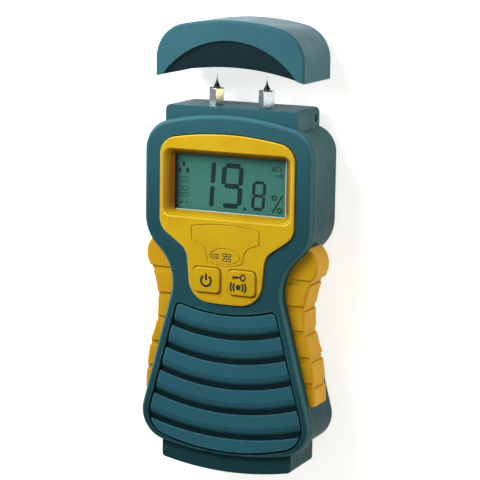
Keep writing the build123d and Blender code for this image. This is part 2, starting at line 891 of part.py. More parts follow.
with BuildPart() as contact_straps:
    for side in both_sides:
        with BuildSketch(Plane.YZ.offset(side * terminal_x)):
            with BuildLine():
                Polyline(
                    (contact_face, battery_middle_z - 2),
                    (contact_face, board_back),
                    (board_bottom_y + 4, board_back),
                    (board_bottom_y + 4, board_back - strip_thickness),
                    (contact_face + strip_thickness, board_back - strip_thickness),
                    (contact_face + strip_thickness, battery_middle_z - 2),
                    close=True,
                )
            make_face()
        extrude(amount=1.5, both=True)
save(contact_straps, "contact_straps")

# Battery door: slides off the back towards the foot
with BuildPart() as battery_door:
    with BuildSketch():
        add(shell_outline)
    extrude(amount=door_end_height)
    fillet(battery_door.faces().sort_by(Axis.Z)[0].edges(), back_round)
    with BuildSketch():
        with Locations((0, door_top_y)):
            Rectangle(2 * door_half, 80, align=(Align.CENTER, Align.MAX))
    extrude(amount=door_end_height, mode=Mode.INTERSECT)
    with BuildSketch(Plane.XY.offset(door_thickness)):
        with Locations((0, foot_bottom + flange_step + wall)):
            Rectangle(2 * door_half, 80, align=(Align.CENTER, Align.MIN))
    extrude(amount=door_end_height, mode=Mode.SUBTRACT)
    with BuildSketch(Plane.XY.offset(door_thickness - tongue_thickness)):
        with Locations((0, door_top_y)):
            Rectangle(2 * (door_half + tongue_width), door_top_y - battery_y, align=(Align.CENTER, Align.MAX))
    extrude(amount=tongue_thickness)
    # Finger grooves near the outer end
    with BuildSketch():
        with Locations(*[(0, battery_y + 8 + 2.4 * row) for row in range(5)]):
            SlotOverall(16, 1.2)
    extrude(amount=0.5, mode=Mode.SUBTRACT)
save(battery_door, "battery_door")

# Fasteners
with BuildPart() as housing_screws:
    head_low = housing_head_sink - housing_head_height
    with BuildSketch(Plane.XY.offset(head_low)):
        with Locations(*both(housing_screw_spots)):
            Circle(housing_head_radius)
    extrude(amount=housing_head_height)
    with BuildSketch(Plane.XY.offset(housing_head_sink)):
        with Locations(*both(housing_screw_spots)):
            Circle(housing_screw_radius)
    extrude(amount=seam_height + 8 - housing_head_sink)
    with BuildSketch(Plane.XY.offset(head_low)):
        with Locations(*both(housing_screw_spots)):
            Rectangle(3.2, 0.7)
            Rectangle(0.7, 3.2)
    extrude(amount=1.1, mode=Mode.SUBTRACT)
save(housing_screws, "housing_screws")

with BuildPart() as board_screws:
    with BuildSketch(Plane.XY.offset(board_back)):
        with Locations(*both(board_posts)):
            Circle(1.9)
    extrude(amount=-1.4)
    with BuildSketch(Plane.XY.offset(board_back)):
        with Locations(*both(board_posts)):
            Circle(board_screw_radius)
    extrude(amount=board_thickness + 5)
save(board_screws, "board_screws")

# Blank rating label in its recess on the back
with BuildPart() as rating_label:
    with BuildSketch(Plane.XY.offset(label_recess)):
        with Locations((0, label_y)):
            RectangleRounded(*label_size, 2)
    extrude(amount=-label_thickness)
save(rating_label, "rating_label")

# Cap: hollow cover for the pins, with a finger scoop along the front of its mouth
cap_outline = mirrored_outline(
    [(cap_half, cap_top - cap_top_drop, cap_corner_round), (cap_half, cap_arch_end, 0)],
    cap_top,
    cap_arch_top,
)
cap_side_wall = cap_half - cap_hollow_half
hollow_outline = mirrored_outline(
    [
        (cap_hollow_half, cap_top - cap_top_drop - cap_wall, cap_corner_round - cap_side_wall),
        (cap_hollow_half, nose_top, 0),
    ],
    cap_top - cap_wall,
    nose_top,
)
with BuildPart() as cap:
    with BuildSketch(Plane.XY.offset(cap_back)):
        add(cap_outline)
    extrude(amount=cap_front - cap_back)
    for face in (cap.faces().sort_by(Axis.Z)[0], cap.faces().sort_by(Axis.Z)[-1]):
        mouth = Vertex(0, cap_arch_top, face.center().Z)
        fillet(face.edges().sort_by(lambda edge: edge.distance_to(mouth))[1:], cap_edge_round)
    with BuildSketch(Plane.XY.offset(cap_hollow_back)):
        add(hollow_outline)
    extrude(amount=cap_hollow_front - cap_hollow_back, mode=Mode.SUBTRACT)
    with BuildSketch(Plane.XY.offset(cap_front)):
        with Locations((0, scoop_middle_y)):
            Circle(scoop_radius)
    extrude(amount=-scoop_depth, mode=Mode.SUBTRACT)
save(cap, "cap")
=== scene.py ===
import math

import bmesh
import bpy
from mathutils import Matrix, Vector


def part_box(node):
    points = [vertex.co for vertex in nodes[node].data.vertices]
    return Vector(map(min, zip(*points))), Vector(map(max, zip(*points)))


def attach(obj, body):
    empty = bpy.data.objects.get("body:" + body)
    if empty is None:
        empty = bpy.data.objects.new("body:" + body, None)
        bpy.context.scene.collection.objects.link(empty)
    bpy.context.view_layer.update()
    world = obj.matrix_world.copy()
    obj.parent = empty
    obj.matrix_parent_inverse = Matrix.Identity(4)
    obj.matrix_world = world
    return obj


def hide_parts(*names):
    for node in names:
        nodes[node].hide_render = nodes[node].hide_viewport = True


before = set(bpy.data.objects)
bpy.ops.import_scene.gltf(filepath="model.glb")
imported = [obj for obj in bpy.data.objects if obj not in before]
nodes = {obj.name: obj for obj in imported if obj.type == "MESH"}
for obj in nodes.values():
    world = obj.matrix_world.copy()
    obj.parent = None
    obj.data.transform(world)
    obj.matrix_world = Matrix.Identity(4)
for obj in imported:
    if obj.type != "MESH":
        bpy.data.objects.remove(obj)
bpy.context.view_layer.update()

MM = 0.001


# ---------------------------------------------------------------- camera, floor and light

def point_camera(place, target, roll, lens):
    """Camera that looks down on the lying meter, with +Y up in its view."""
    camera = bpy.data.objects.new("camera", bpy.data.cameras.new("camera"))
    bpy.context.scene.collection.objects.link(camera)
    ahead = (target - place).normalized()
    right = ahead.cross(Vector((0, 1, 0))).normalized()
    up = right.cross(ahead)
    turned_right = right * math.cos(roll) + up * math.sin(roll)
    turned_up = up * math.cos(roll) - right * math.sin(roll)
    turned = Matrix((turned_right, turned_up, -ahead)).transposed().to_4x4()
    camera.matrix_world = Matrix.Translation(place) @ turned
    camera.data.lens = lens
    camera.data.clip_start = 0.01
    bpy.context.scene.camera = camera


def soft_light(name, place, target, size, power, colour):
    """Large square lamp turned towards a point."""
    lamp = bpy.data.lights.new(name, "AREA")
    lamp.shape = "SQUARE"
    lamp.size = size
    lamp.energy = power
    lamp.color = colour
    holder = bpy.data.objects.new(name, lamp)
    bpy.context.scene.collection.objects.link(holder)
    holder.location = place
    holder.rotation_euler = (target - place).to_track_quat("-Z", "Y").to_euler()


point_camera(
    place=Vector((322.04, 158.83, 737.95)) * MM,
    target=Vector((5.8, 18.9, 30.0)) * MM,
    roll=math.radians(0.9),
    lens=155.3,
)

DAYLIGHT = (0.97, 0.99, 1.0)
LAMPLIGHT = (1.0, 0.98, 0.94)
GOLDEN = (1.0, 0.78, 0.32)

meter_middle = Vector((0, 10, 15)) * MM
head_middle = Vector((0, 55, 30)) * MM
soft_light("window_light", Vector((-0.30, 0.32, 0.30)), meter_middle, size=0.22, power=2.5, colour=DAYLIGHT)
soft_light("head_light", Vector((-0.06, 0.17, 0.21)), head_middle, size=0.1, power=0.33, colour=DAYLIGHT)
soft_light("front_light", Vector((0.45, -0.1, 0.6)), meter_middle, size=0.4, power=0.6, colour=LAMPLIGHT)
soft_light("warm_side_light", Vector((0.6, -0.1, 0.12)), meter_middle, size=0.3, power=1.2, colour=GOLDEN)

world = bpy.data.worlds.new("studio")
bpy.context.scene.world = world
world.use_nodes = True
background = world.node_tree.nodes["Background"].inputs
background["Color"].default_value = (1.0, 1.0, 1.0, 1.0)
background["Strength"].default_value = 0.22
bpy.context.scene.view_settings.view_transform = "Standard"


# ---------------------------------------------------------------- how a finish is made

def new_finish(name, colour, roughness, settings=None):
    """Finish of one shader; settings are more of the shader's own sockets."""
    finish = bpy.data.materials.new(name)
    finish.use_nodes = True
    shader = shader_of(finish)
    shader.inputs["Base Color"].default_value = (*colour, 1.0)
    shader.inputs["Roughness"].default_value = roughness
    for socket, value in (settings or {}).items():
        shader.inputs[socket].default_value = value
    return finish


def shader_of(finish):
    """The one shader that a finish has."""
    return finish.node_tree.nodes["Principled BSDF"]


def add_node(finish, kind, links=None, **settings):
    """One more node of a finish; links are its inputs by name."""
    node = finish.node_tree.nodes.new(kind)
    for setting, value in settings.items():
        setattr(node, setting, value)
    for socket, value in (links or {}).items():
        if isinstance(value, bpy.types.NodeSocket):
            finish.node_tree.links.new(value, node.inputs[socket])
        else:
            node.inputs[socket].default_value = value
    return node


def place_on_piece(finish, stretch=(1, 1, 1)):
    """Place on the piece in millimetres, with each axis stretched."""
    place = add_node(finish, "ShaderNodeTexCoord").outputs["Object"]
    scale = [1000 * amount for amount in stretch]
    return add_node(finish, "ShaderNodeMapping", {"Vector": place, "Scale": scale}).outputs["Vector"]


def axes_on_piece(finish):
    """X, Y and Z of the place on the piece, in millimetres."""
    return add_node(finish, "ShaderNodeSeparateXYZ", {"Vector": place_on_piece(finish)}).outputs


def facing_up(finish):
    """How much the surface faces up: 1 where it lies flat, 0 where it stands."""
    normal = add_node(finish, "ShaderNodeNewGeometry").outputs["Normal"]
    return add_node(finish, "ShaderNodeSeparateXYZ", {"Vector": normal}).outputs["Z"]


def mottle(finish, size, detail=2.0, stretch=(1, 1, 1)):
    """Uneven pattern from 0 to 1, its spots about size millimetres across."""
    links = {"Vector": place_on_piece(finish, stretch), "Scale": 1 / size, "Detail": detail}
    return add_node(finish, "ShaderNodeTexNoise", links).outputs["Fac"]


def spread(finish, pattern, low, high, to_low=0.0, to_high=1.0):
    """A pattern's range from low to high, moved to another range."""
    links = {"Value": pattern, "From Min": low, "From Max": high, "To Min": to_low, "To Max": to_high}
    return add_node(finish, "ShaderNodeMapRange", links).outputs["Result"]


def sums(finish, operation, first, second=0.0):
    """Arithmetic on two patterns."""
    node = add_node(finish, "ShaderNodeMath", {0: first, 1: second}, operation=operation)
    return node.outputs["Value"]


def both(finish, first, second):
    """Pattern that is 1 where two others are."""
    return sums(finish, "MULTIPLY", first, second)


def tint(finish, pattern, colour):
    """Turn the colour towards another where the pattern is 1."""
    base = shader_of(finish).inputs["Base Color"]
    mix = add_node(finish, "ShaderNodeMix", {"Factor": pattern}, data_type="RGBA")
    colours = [socket for socket in mix.inputs if socket.type == "RGBA"]
    if base.links:
        finish.node_tree.links.new(base.links[0].from_socket, colours[0])
    else:
        colours[0].default_value = base.default_value
    colours[1].default_value = (*colour, 1.0)
    finish.node_tree.links.new([socket for socket in mix.outputs if socket.type == "RGBA"][0], base)


def vary_roughness(finish, pattern, low, high):
    """Roughness from low to high as the pattern goes from 0.3 to 0.7."""
    result = spread(finish, pattern, 0.3, 0.7, low, high)
    finish.node_tree.links.new(result, shader_of(finish).inputs["Roughness"])


def eased_normal(finish, radius):
    """The surface's direction, turned gradually round sharp edges over that many millimetres."""
    return add_node(finish, "ShaderNodeBevel", {"Radius": radius * MM}, samples=4).outputs["Normal"]


def ease_edges(finish, radius):
    """Round the shading of sharp edges over that many millimetres."""
    finish.node_tree.links.new(eased_normal(finish, radius), shader_of(finish).inputs["Normal"])


def relief(finish, pattern, height):
    """Raise the surface by height millimetres where the pattern is 1."""
    normal = shader_of(finish).inputs["Normal"]
    bump = add_node(finish, "ShaderNodeBump", {"Height": pattern, "Distance": height * MM, "Strength": 1.0})
    if normal.links:
        finish.node_tree.links.new(normal.links[0].from_socket, bump.inputs["Normal"])
    finish.node_tree.links.new(bump.outputs["Normal"], normal)


def paint_edge_highlight(finish, radius, colour, amount):
    """Painted highlight: turn the colour lighter, in patches, along the outer edges."""
    true_normal = add_node(finish, "ShaderNodeNewGeometry").outputs["Normal"]
    links = {0: true_normal, 1: eased_normal(finish, radius)}
    agreement = add_node(finish, "ShaderNodeVectorMath", links, operation="DOT_PRODUCT").outputs["Value"]
    edge = spread(finish, agreement, 0.97, 0.86)
    patchy = spread(finish, mottle(finish, 3.0, 4.0), 0.35, 0.6, 0.2, amount)
    tint(finish, both(finish, edge, patchy), colour)


# ---------------------------------------------------------------- the plastics

def moulded_teal(name, colour, roughness):
    """Dark teal housing plastic with a fine spark-eroded texture and painted highlights along its edges."""
    finish = new_finish(name, colour, roughness, {"Specular IOR Level": 0.1})
    tint(finish, spread(finish, mottle(finish, 18.0, 3.0), 0.35, 0.65, 0.0, 0.35), [1.25 * part for part in colour])
    paint_edge_highlight(finish, 0.9, TEAL_HIGHLIGHT, 0.9)
    vary_roughness(finish, mottle(finish, 6.0, 4.0), roughness - 0.05, roughness + 0.07)
    ease_edges(finish, 0.35)
    relief(finish, mottle(finish, 0.32, 2.0), 0.035)
    return finish


def moulded_yellow(name, colour, deep_colour, roughness, grain, depth):
    """Yellow plastic or rubber, a little deeper in patches."""
    finish = new_finish(name, colour, roughness, {"Specular IOR Level": 0.14})
    tint(finish, spread(finish, mottle(finish, 14.0, 3.0), 0.4, 0.7, 0.0, 0.4), deep_colour)
    vary_roughness(finish, mottle(finish, 5.0, 4.0), roughness - 0.05, roughness + 0.06)
    ease_edges(finish, 0.25)
    relief(finish, mottle(finish, grain, 2.0), depth)
    return finish


def plain_moulded(name, colour, roughness, grain=0.3, depth=0.02):
    """Moulded part of one colour with a fine grain."""
    finish = new_finish(name, colour, roughness)
    tint(finish, spread(finish, mottle(finish, 8.0, 3.0), 0.35, 0.7, 0.0, 0.35), [0.75 * part for part in colour])
    vary_roughness(finish, mottle(finish, 3.0, 3.0), roughness - 0.06, roughness + 0.06)
    relief(finish, mottle(finish, grain, 2.0), depth)
    return finish


TEAL = (0.0125, 0.056, 0.071)
# Colour of the painted highlights on the teal plastics
TEAL_HIGHLIGHT = (0.055, 0.19, 0.235)
TEAL_SHADE = (0.0015, 0.012, 0.015)
YELLOW = (0.52, 0.33, 0.006)
YELLOW_DEEP = (0.43, 0.21, 0.002)

teal_housing = moulded_teal("teal_housing", TEAL, 0.46)
teal_panel = moulded_teal("teal_panel", (0.02, 0.096, 0.128), 0.5)
# The cap's teal is lighter than the housing's: a painted highlight for its lit band
teal_cap = moulded_teal("teal_cap", (0.026, 0.1, 0.126), 0.42)
yellow_plastic = moulded_yellow("yellow_plastic", YELLOW, YELLOW_DEEP, 0.42, 0.3, 0.02)
yellow_button = moulded_yellow("yellow_button", (0.5, 0.32, 0.005), YELLOW_DEEP, 0.4, 0.28, 0.015)
yellow_rubber = moulded_yellow("yellow_rubber", (0.52, 0.29, 0.006), (0.48, 0.2, 0.003), 0.55, 0.22, 0.03)

# Painted light: the housing is a little paler at the head and darker at the foot, as the light falls off down its
# length
housing = axes_on_piece(teal_housing)
tint(teal_housing, spread(teal_housing, housing["Y"], 25.0, 68.0, 0.0, 0.45), (0.03, 0.125, 0.15))
tint(teal_housing, spread(teal_housing, housing["Y"], -30.0, -74.0, 0.0, 0.6), (0.004, 0.026, 0.032))

# Painted shade in the panel's grooves, from GROOVE_LIP under its top down to GROOVE_FLOOR
GROOVE_LIP = 0.4
GROOVE_FLOOR = 0.85
panel_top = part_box("ridged_panel")[1][2] / MM
panel_height = axes_on_piece(teal_panel)["Z"]
tint(teal_panel, spread(teal_panel, panel_height, panel_top - GROOVE_LIP, panel_top - GROOVE_FLOOR), TEAL_SHADE)

# Painted shade on the floors of the seats round the panel and the bezel too, which lie between these heights
SEAT_LOW = 28.1
SEAT_HIGH = 29.0
housing_up = facing_up(teal_housing)
under_face = spread(teal_housing, housing["Z"], SEAT_HIGH, SEAT_HIGH - 0.1)
over_walls = spread(teal_housing, housing["Z"], SEAT_LOW, SEAT_LOW + 0.1)
in_seat = both(teal_housing, under_face, over_walls)
tint(teal_housing, both(teal_housing, in_seat, spread(teal_housing, housing_up, 0.9, 0.95)), TEAL_SHADE)

# Painted highlight along the rounded rim of the face
off_flat = spread(teal_housing, housing_up, 0.97, 0.8)
off_upright = spread(teal_housing, housing_up, 0.25, 0.55)
near_face = spread(teal_housing, housing["Z"], 28.0, 28.5, 0.0, 0.55)
tint(teal_housing, both(teal_housing, both(teal_housing, off_flat, off_upright), near_face), TEAL_HIGHLIGHT)

# Dark parting line where the two housings meet
parting_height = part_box("rear_housing")[1][2] / MM
from_parting = sums(teal_housing, "ABSOLUTE", sums(teal_housing, "SUBTRACT", housing["Z"], parting_height))
tint(teal_housing, spread(teal_housing, from_parting, 0.3, 0.15, 0.0, 0.85), TEAL_SHADE)

# Painted shade: the bezel deepens to orange-brown down the slope of its window and down its outer walls, except on
# the lower side
bezel = axes_on_piece(yellow_plastic)
down_slope = spread(yellow_plastic, bezel["Z"], 30.8, 28.2, 0.0, 0.9)
above_sill = spread(yellow_plastic, bezel["Y"], 26.5, 30.5, 0.15, 1.0)
tint(yellow_plastic, both(yellow_plastic, down_slope, above_sill), (0.15, 0.042, 0.001))

# Painted highlight along its rounded outer edge
bezel_up = facing_up(yellow_plastic)
off_flat = spread(yellow_plastic, bezel_up, 0.98, 0.85)
off_upright = spread(yellow_plastic, bezel_up, 0.3, 0.6)
near_top = spread(yellow_plastic, bezel["Z"], 30.5, 30.65, 0.0, 0.6)
tint(yellow_plastic, both(yellow_plastic, both(yellow_plastic, off_flat, off_upright), near_top), (0.78, 0.6, 0.12))

# Painted shade: the cap's scoop under its arched band is darkened, round a centre on the middle line
SCOOP_CENTRE_Y = 59.5
SCOOP_RADIUS = 34.7
cap = axes_on_piece(teal_cap)
across = sums(teal_cap, "POWER", cap["X"], 2.0)
lengthways = sums(teal_cap, "POWER", sums(teal_cap, "SUBTRACT", cap["Y"], SCOOP_CENTRE_Y), 2.0)
from_centre = sums(teal_cap, "SQRT", sums(teal_cap, "ADD", across, lengthways))
in_scoop = spread(teal_cap, from_centre, SCOOP_RADIUS, SCOOP_RADIUS - 0.3)
on_front = spread(teal_cap, cap["Z"], 28.2, 28.5)
tint(teal_cap, both(teal_cap, in_scoop, on_front), (0.002, 0.014, 0.018))

black_plastic = plain_moulded("black_plastic", (0.018, 0.018, 0.02), 0.45)
white_plastic = plain_moulded("white_plastic", (0.68, 0.68, 0.65), 0.4)
component_ceramic = plain_moulded("component_ceramic", (0.32, 0.24, 0.15), 0.5, 0.15, 0.01)
black_foam = plain_moulded("black_foam", (0.018, 0.018, 0.018), 0.9, 0.4, 0.12)
print_black = plain_moulded("print_black", (0.012, 0.013, 0.012), 0.5, 0.1, 0.004)

# Zebra strips: fine conducting layers between insulating ones, along the strip
zebra_rubber = new_finish("zebra_rubber", (0.35, 0.3, 0.24), 0.7)
layers = add_node(
    zebra_rubber, "ShaderNodeTexWave",
    {"Vector": place_on_piece(zebra_rubber), "Scale": 0.9, "Distortion": 0.0},
).outputs["Fac"]
tint(zebra_rubber, spread(zebra_rubber, layers, 0.35, 0.65), (0.02, 0.02, 0.02))
relief(zebra_rubber, layers, 0.01)


# ---------------------------------------------------------------- display

def liquid_crystal(name, colour, deep_colour):
    """Ink of the display's figures, a little uneven."""
    finish = new_finish(name, colour, 0.4)
    tint(finish, spread(finish, mottle(finish, 0.5, 2.0), 0.4, 0.7, 0.0, 0.5), deep_colour)
    vary_roughness(finish, mottle(finish, 1.0), 0.35, 0.45)
    return finish


figure_ink = liquid_crystal("figure_ink", (0.004, 0.022, 0.018), (0.007, 0.032, 0.026))
faint_ink = liquid_crystal("faint_ink", (0.014, 0.068, 0.055), (0.02, 0.085, 0.068))

clear_window = new_finish("clear_window", (0.01, 0.03, 0.025), 0.06, {"Alpha": 0.12, "IOR": 1.49})
vary_roughness(clear_window, mottle(clear_window, 9.0, 4.0, (1, 0.4, 1)), 0.04, 0.12)

# Painted highlight where the window's edges catch the light
painted_edge_highlight = new_finish("painted_edge_highlight", (0.45, 0.6, 0.5), 0.15)
tint(painted_edge_highlight, spread(painted_edge_highlight, mottle(painted_edge_highlight, 4.0, 3.0), 0.35, 0.65, 0.0, 0.6), (0.25, 0.45, 0.38))
vary_roughness(painted_edge_highlight, mottle(painted_edge_highlight, 2.0), 0.1, 0.25)

# The display is deeper towards its top and has painted shade at its left end, with a fine grain all over
display_glass = new_finish("display_glass", (0.065, 0.25, 0.2), 0.3, {"Specular IOR Level": 0.3})
display = axes_on_piece(display_glass)
tint(display_glass, spread(display_glass, display["Y"], 34.0, 50.0, 0.0, 0.5), (0.05, 0.2, 0.16))
tint(display_glass, spread(display_glass, display["X"], -20.5, -22.8, 0.0, 0.6), (0.025, 0.11, 0.088))
display_grain = spread(display_glass, mottle(display_glass, 0.25, 2.0), 0.45, 0.8, 0.0, 0.3)
tint(display_glass, display_grain, (0.085, 0.29, 0.23))
vary_roughness(display_glass, mottle(display_glass, 4.0, 3.0), 0.26, 0.36)


# ---------------------------------------------------------------- metals

def turned_metal(name, colour, roughness, along_axis, pitch=0.12):
    """Metal turned on a lathe, with fine rings across the axis."""
    finish = new_finish(name, colour, roughness, {"Metallic": 1.0})
    rings = add_node(
        finish, "ShaderNodeTexWave",
        {"Vector": place_on_piece(finish), "Scale": 0.3 / pitch, "Distortion": 1.0},
        bands_direction=along_axis,
    ).outputs["Fac"]
    tint(finish, spread(finish, mottle(finish, 2.5, 4.0), 0.4, 0.7, 0.0, 0.25), [0.8 * part for part in colour])
    vary_roughness(finish, mottle(finish, 1.2, 3.0), roughness - 0.03, roughness + 0.04)
    relief(finish, rings, 0.0008)
    return finish


nickel = turned_metal("nickel", (0.74, 0.8, 0.82), 0.27, "Y", 0.6)
needle_steel = turned_metal("needle_steel", (0.09, 0.1, 0.105), 0.3, "Y", 0.08)
brass = turned_metal("brass", (0.74, 0.52, 0.2), 0.26, "Y")
screw_steel = turned_metal("screw_steel", (0.34, 0.34, 0.35), 0.34, "Z")


# ---------------------------------------------------------------- inside and back

# Circuit board: solder mask over copper tracks, with a dot of bare copper here and there
green_board = new_finish("green_board", (0.012, 0.12, 0.045), 0.3, {"Coat Weight": 0.3, "Coat Roughness": 0.15})
tracks = add_node(
    green_board, "ShaderNodeTexBrick",
    {
        "Vector": place_on_piece(green_board), "Scale": 0.32, "Mortar Size": 0.035,
        "Brick Width": 1.6, "Row Height": 0.55,
    },
    offset=0.5,
).outputs["Fac"]
tint(green_board, sums(green_board, "MULTIPLY", tracks, 0.7), (0.03, 0.24, 0.09))
relief(green_board, tracks, 0.03)
copper_dots = add_node(
    green_board, "ShaderNodeTexVoronoi", {"Vector": place_on_piece(green_board), "Scale": 0.28},
).outputs["Distance"]
tint(green_board, spread(green_board, copper_dots, 0.13, 0.1), (0.55, 0.5, 0.38))
vary_roughness(green_board, mottle(green_board, 5.0, 3.0), 0.24, 0.38)

# Battery: a steel jacket, dark over most of its length, with a copper-coloured band and a bare rim at the terminals
BAND_LENGTH = 13
battery_jacket = new_finish(
    "battery_jacket", (0.02, 0.021, 0.024), 0.3,
    {"Metallic": 0.6, "Coat Weight": 0.4, "Coat Roughness": 0.12},
)
battery = axes_on_piece(battery_jacket)
battery_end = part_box("battery")[1][1] / MM
band_start = battery_end - BAND_LENGTH
tint(battery_jacket, spread(battery_jacket, battery["Y"], band_start, band_start + 0.1), (0.5, 0.24, 0.07))
bare_rim = spread(battery_jacket, battery["Y"], battery_end - 1.2, battery_end - 1.0)
tint(battery_jacket, bare_rim, (0.45, 0.45, 0.44))
vary_roughness(battery_jacket, mottle(battery_jacket, 7.0, 5.0), 0.22, 0.42)
relief(battery_jacket, mottle(battery_jacket, 12.0, 3.0), 0.12)

# Rating label: silver film with plain ruled lines
RULE_SPACING = 2.2
label_film = new_finish("label_film", (0.52, 0.53, 0.52), 0.36, {"Metallic": 0.35})
label = axes_on_piece(label_film)
label_low, label_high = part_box("rating_label")
label_middle = (label_low[1] + label_high[1]) / 2 / MM
from_middle = sums(label_film, "SUBTRACT", label["Y"], label_middle)
on_rule = spread(label_film, sums(label_film, "PINGPONG", from_middle, RULE_SPACING), 0.2, 0.12)
inside_ends = spread(label_film, sums(label_film, "ABSOLUTE", label["X"]), 17.0, 16.9)
inside_rows = spread(label_film, sums(label_film, "ABSOLUTE", from_middle), 7.2, 7.1)
ruled = both(label_film, both(label_film, on_rule, inside_ends), inside_rows)
tint(label_film, ruled, (0.03, 0.03, 0.032))
tint(label_film, spread(label_film, mottle(label_film, 6.0, 4.0), 0.4, 0.75, 0.0, 0.3), (0.4, 0.41, 0.41))
vary_roughness(label_film, mottle(label_film, 2.0, 4.0, (1, 6, 1)), 0.28, 0.44)
relief(label_film, mottle(label_film, 0.5, 2.0), 0.01)

finish_of = {
    "front_housing": teal_housing,
    "rear_housing": teal_housing,
    "nose_block": teal_housing,
    "battery_door": teal_housing,
    "ridged_panel": teal_panel,
    "cap": teal_cap,
    "bezel": yellow_plastic,
    "power_button": yellow_button,
    "hold_button": yellow_button,
    "left_grip": yellow_rubber,
    "right_grip": yellow_rubber,
    "lcd_window": clear_window,
    "window_gasket": black_foam,
    "lcd_glass": display_glass,
    "lcd_frame": white_plastic,
    "zebra_strips": zebra_rubber,
    "circuit_board": green_board,
    "controller_chip": black_plastic,
    "buzzer": black_plastic,
    "board_components": component_ceramic,
    "power_switch": black_plastic,
    "hold_switch": black_plastic,
    "power_plunger": white_plastic,
    "hold_plunger": white_plastic,
    "left_socket": brass,
    "right_socket": brass,
    "socket_strips": brass,
    "left_collar": nickel,
    "right_collar": nickel,
    "left_needle": needle_steel,
    "right_needle": needle_steel,
    "battery": battery_jacket,
    "battery_terminals": nickel,
    "contact_snaps": nickel,
    "contact_straps": nickel,
    "contact_block": black_plastic,
    "housing_screws": screw_steel,
    "board_screws": screw_steel,
    "rating_label": label_film,
}
for name, node in nodes.items():
    node.data.materials.clear()
    node.data.materials.append(finish_of[name])


# ---------------------------------------------------------------- moulded edges

SHARP = math.radians(32)


def softened(name, body, width):
    """Copy of a piece with its sharp edges rounded over, as a mould leaves them; it stands for that piece."""
    form = bmesh.new()
    form.from_mesh(nodes[name].data)
    bmesh.ops.remove_doubles(form, verts=form.verts, dist=0.000002)
    bmesh.ops.dissolve_limit(form, angle_limit=math.radians(0.6), verts=form.verts, edges=form.edges)
    mesh = bpy.data.meshes.new(name + "_moulded")
    form.to_mesh(mesh)
    form.free()
    mesh.shade_smooth()
    mesh.set_sharp_from_angle(angle=SHARP)
    piece = bpy.data.objects.new(name + "_moulded", mesh)
    bpy.context.scene.collection.objects.link(piece)
    mesh.materials.append(finish_of[name])
    edge = piece.modifiers.new("edge", "BEVEL")
    edge.width = width * MM
    edge.segments = 2
    edge.limit_method = "ANGLE"
    edge.angle_limit = SHARP
    edge.use_clamp_overlap = True
    edge.miter_outer = "MITER_ARC"
    piece.modifiers.new("flats", "WEIGHTED_NORMAL").keep_sharp = True
    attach(piece, body)
    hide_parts(name)


for name, body, width in (
    ("bezel", "meter", 0.2),
    ("ridged_panel", "meter", 0.2),
    ("left_grip", "meter", 0.3),
    ("right_grip", "meter", 0.3),
    ("nose_block", "meter", 0.4),
    ("cap", "cap", 0.3),
    ("battery_door", "battery_door", 0.2),
    ("left_collar", "meter", 0.12),
    ("right_collar", "meter", 0.12),
):
    softened(name, body, width)


# ---------------------------------------------------------------- printed and displayed marks

INK = 0.05
WHOLE_TURN = 360
figure_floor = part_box("lcd_glass")[1][2] / MM
window_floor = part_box("lcd_window")[1][2] / MM
button_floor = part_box("power_button")[1][2] / MM
bezel_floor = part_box("bezel")[1][2] / MM


def lie_between(start, end, floor):
    """Length of a stroke, and the place that lays it from start to end."""
    start, end = Vector((*start, 0)), Vector((*end, 0))
    run = end - start
    middle = (start + end) / 2
    middle.z = floor + INK / 2
    return run.length, Matrix.Translation(middle) @ Matrix.Rotation(math.atan2(run.y, run.x), 4, "Z")


def mark_bar(form, start, end, width, floor):
    """Straight stroke with square ends, from start to end."""
    length, place = lie_between(start, end, floor)
    bmesh.ops.create_cube(form, size=1.0, matrix=place @ Matrix.Diagonal((length, width, INK, 1.0)))


def mark_segment(form, start, end, width, floor):
    """Stroke with pointed ends, as in a seven-segment figure: a hexagon drawn out along its length."""
    length, place = lie_between(start, end, floor)
    point = width / math.sqrt(3)
    corners = bmesh.ops.create_cone(
        form, cap_ends=True, segments=6, radius1=point, radius2=point, depth=INK,
        matrix=Matrix.Rotation(math.radians(30), 4, "Z"),
    )["verts"]
    half_run = length / 2 - point
    bmesh.ops.translate(form, verts=[corner for corner in corners if corner.co.x > 0.01], vec=(half_run, 0, 0))
    bmesh.ops.translate(form, verts=[corner for corner in corners if corner.co.x < -0.01], vec=(-half_run, 0, 0))
    bmesh.ops.transform(form, verts=corners, matrix=place)


def mark_arc(form, middle, radius, width, first, turn, floor, squash=1.0):
    """Round stroke about a middle; first and turn are in degrees."""
    square = bmesh.ops.create_grid(form, x_segments=1, y_segments=1, size=0.5)["verts"]
    stand = Matrix.Rotation(math.radians(90), 4, "X")
    place = Matrix.Translation((radius, 0, INK / 2)) @ Matrix.Diagonal((width, 1, INK, 1)) @ stand
    bmesh.ops.transform(form, verts=square, matrix=Matrix.Rotation(math.radians(first), 4, "Z") @ place)
    faces = [face for face in form.faces if all(corner in square for corner in face.verts)]
    edges = [edge for face in faces for edge in face.edges]
    whole = turn >= WHOLE_TURN
    before = set(form.verts) - set(square)
    bmesh.ops.spin(
        form, geom=square + edges + faces, cent=(0, 0, 0), axis=(0, 0, 1), angle=math.radians(turn),
        steps=max(6, int(turn / 12)), use_merge=whole,
    )
    made = [corner for corner in form.verts if corner not in before]
    if whole:
        bmesh.ops.delete(form, geom=[face for face in faces if face.is_valid], context="FACES_ONLY")
    place = Matrix.Translation((*middle, floor)) @ Matrix.Diagonal((squash, 1, 1, 1))
    bmesh.ops.transform(form, verts=made, matrix=place)


def mark_ring(form, middle, radius, width, floor, squash=1.0):
    """Closed round stroke."""
    mark_arc(form, middle, radius, width, 0, WHOLE_TURN, floor, squash)


def mark_dot(form, middle, radius, floor):
    """Round spot."""
    bmesh.ops.create_cone(
        form, cap_ends=True, segments=28, radius1=radius, radius2=radius, depth=INK,
        matrix=Matrix.Translation((*middle, floor + INK / 2)),
    )


